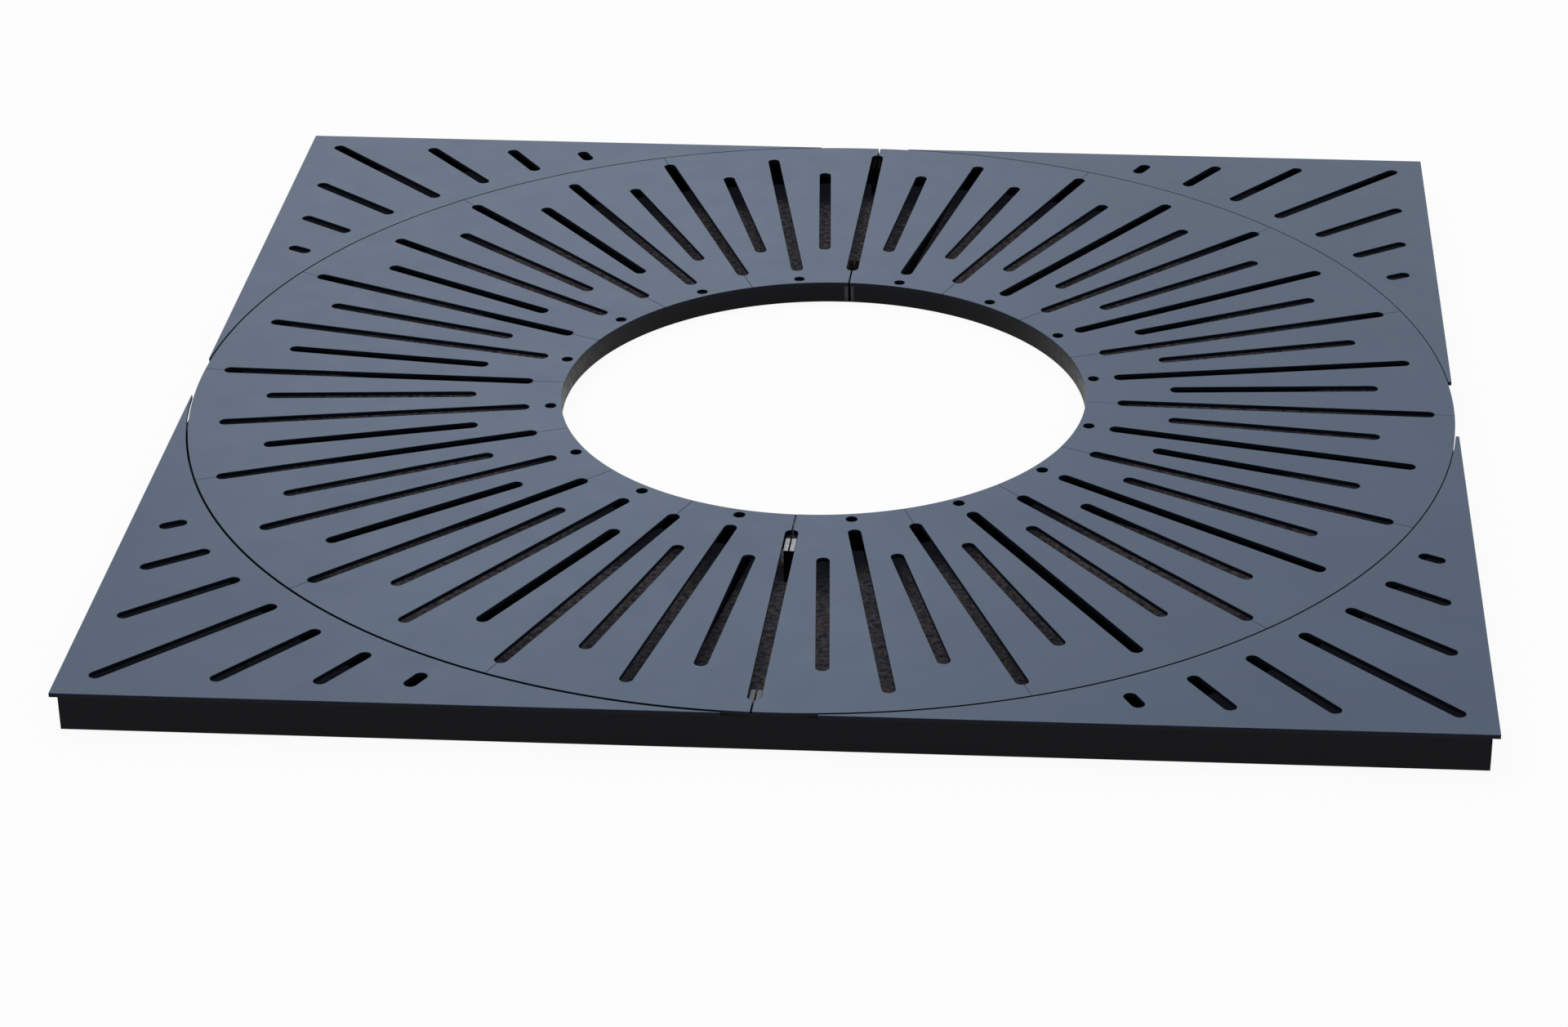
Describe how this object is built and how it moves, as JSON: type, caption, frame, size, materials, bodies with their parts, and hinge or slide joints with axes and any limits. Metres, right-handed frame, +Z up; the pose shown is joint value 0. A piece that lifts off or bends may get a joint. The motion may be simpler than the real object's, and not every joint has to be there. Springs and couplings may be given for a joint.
{
  "type": "tree grate",
  "caption": "Square tree grate with a round trunk opening: loose slotted sector and corner plates on a frame and two-part ring carrier of upright flat bars.",
  "frame": {"origin": "on the ground under the middle of the square; the round part lies 1.5 mm behind it", "axes": "+Z up, -Y towards the front, where one split seam of the round part lies, +X to the right"},
  "size_m": [1.5, 1.5, 0.045],
  "materials": {
    "plate_coating": "satin anthracite powder coat",
    "carrier_coating": "satin black powder coat",
    "zinc_plating": "zinc plated"
  },
  "bodies": {
    "carrier": {"corner_seat_front_left": "carrier_coating", "corner_seat_front_right": "carrier_coating", "corner_seat_back_left": "carrier_coating", "corner_seat_back_right": "carrier_coating", "frame_bar_front": "carrier_coating", "frame_bar_back": "carrier_coating", "frame_bar_left": "carrier_coating", "frame_bar_right": "carrier_coating", "inner_ring_left": "carrier_coating", "inner_ring_right": "carrier_coating", "outer_ring_left": "carrier_coating", "outer_ring_right": "carrier_coating", "radial_bars_left": "carrier_coating", "radial_bars_right": "carrier_coating", "joint_bolts": "zinc_plating", "joint_nuts": "zinc_plating", "joint_washers": "zinc_plating"},
    "sector_01": {"sector_plate_01": "plate_coating", "sector_tabs_01": "carrier_coating"},
    "sector_02": {"sector_plate_02": "plate_coating", "sector_tabs_02": "carrier_coating"},
    "sector_03": {"sector_plate_03": "plate_coating", "sector_tabs_03": "carrier_coating"},
    "sector_04": {"sector_plate_04": "plate_coating", "sector_tabs_04": "carrier_coating"},
    "sector_05": {"sector_plate_05": "plate_coating", "sector_tabs_05": "carrier_coating"},
    "sector_06": {"sector_plate_06": "plate_coating", "sector_tabs_06": "carrier_coating"},
    "sector_07": {"sector_plate_07": "plate_coating", "sector_tabs_07": "carrier_coating"},
    "sector_08": {"sector_plate_08": "plate_coating", "sector_tabs_08": "carrier_coating"},
    "sector_09": {"sector_plate_09": "plate_coating", "sector_tabs_09": "carrier_coating"},
    "sector_10": {"sector_plate_10": "plate_coating", "sector_tabs_10": "carrier_coating"},
    "sector_11": {"sector_plate_11": "plate_coating", "sector_tabs_11": "carrier_coating"},
    "sector_12": {"sector_plate_12": "plate_coating", "sector_tabs_12": "carrier_coating"},
    "sector_13": {"sector_plate_13": "plate_coating", "sector_tabs_13": "carrier_coating"},
    "sector_14": {"sector_plate_14": "plate_coating", "sector_tabs_14": "carrier_coating"},
    "sector_15": {"sector_plate_15": "plate_coating", "sector_tabs_15": "carrier_coating"},
    "sector_16": {"sector_plate_16": "plate_coating", "sector_tabs_16": "carrier_coating"},
    "corner_front_left": {"corner_plate_front_left": "plate_coating", "corner_tabs_front_left": "carrier_coating"},
    "corner_front_right": {"corner_plate_front_right": "plate_coating", "corner_tabs_front_right": "carrier_coating"},
    "corner_back_left": {"corner_plate_back_left": "plate_coating", "corner_tabs_back_left": "carrier_coating"},
    "corner_back_right": {"corner_plate_back_right": "plate_coating", "corner_tabs_back_right": "carrier_coating"}
  },
  "joints": [
    {"name": "lift_sector_01", "type": "slide", "parent": "carrier", "child": "sector_01", "axis": [0, 0, 1], "range_m": [0, 0.08]},
    {"name": "lift_sector_02", "type": "slide", "parent": "carrier", "child": "sector_02", "axis": [0, 0, 1], "range_m": [0, 0.08]},
    {"name": "lift_sector_03", "type": "slide", "parent": "carrier", "child": "sector_03", "axis": [0, 0, 1], "range_m": [0, 0.08]},
    {"name": "lift_sector_04", "type": "slide", "parent": "carrier", "child": "sector_04", "axis": [0, 0, 1], "range_m": [0, 0.08]},
    {"name": "lift_sector_05", "type": "slide", "parent": "carrier", "child": "sector_05", "axis": [0, 0, 1], "range_m": [0, 0.08]},
    {"name": "lift_sector_06", "type": "slide", "parent": "carrier", "child": "sector_06", "axis": [0, 0, 1], "range_m": [0, 0.08]},
    {"name": "lift_sector_07", "type": "slide", "parent": "carrier", "child": "sector_07", "axis": [0, 0, 1], "range_m": [0, 0.08]},
    {"name": "lift_sector_08", "type": "slide", "parent": "carrier", "child": "sector_08", "axis": [0, 0, 1], "range_m": [0, 0.08]},
    {"name": "lift_sector_09", "type": "slide", "parent": "carrier", "child": "sector_09", "axis": [0, 0, 1], "range_m": [0, 0.08]},
    {"name": "lift_sector_10", "type": "slide", "parent": "carrier", "child": "sector_10", "axis": [0, 0, 1], "range_m": [0, 0.08]},
    {"name": "lift_sector_11", "type": "slide", "parent": "carrier", "child": "sector_11", "axis": [0, 0, 1], "range_m": [0, 0.08]},
    {"name": "lift_sector_12", "type": "slide", "parent": "carrier", "child": "sector_12", "axis": [0, 0, 1], "range_m": [0, 0.08]},
    {"name": "lift_sector_13", "type": "slide", "parent": "carrier", "child": "sector_13", "axis": [0, 0, 1], "range_m": [0, 0.08]},
    {"name": "lift_sector_14", "type": "slide", "parent": "carrier", "child": "sector_14", "axis": [0, 0, 1], "range_m": [0, 0.08]},
    {"name": "lift_sector_15", "type": "slide", "parent": "carrier", "child": "sector_15", "axis": [0, 0, 1], "range_m": [0, 0.08]},
    {"name": "lift_sector_16", "type": "slide", "parent": "carrier", "child": "sector_16", "axis": [0, 0, 1], "range_m": [0, 0.08]},
    {"name": "lift_corner_front_left", "type": "slide", "parent": "carrier", "child": "corner_front_left", "axis": [0, 0, 1], "range_m": [0, 0.08]},
    {"name": "lift_corner_front_right", "type": "slide", "parent": "carrier", "child": "corner_front_right", "axis": [0, 0, 1], "range_m": [0, 0.08]},
    {"name": "lift_corner_back_left", "type": "slide", "parent": "carrier", "child": "corner_back_left", "axis": [0, 0, 1], "range_m": [0, 0.08]},
    {"name": "lift_corner_back_right", "type": "slide", "parent": "carrier", "child": "corner_back_right", "axis": [0, 0, 1], "range_m": [0, 0.08]}
  ]
}
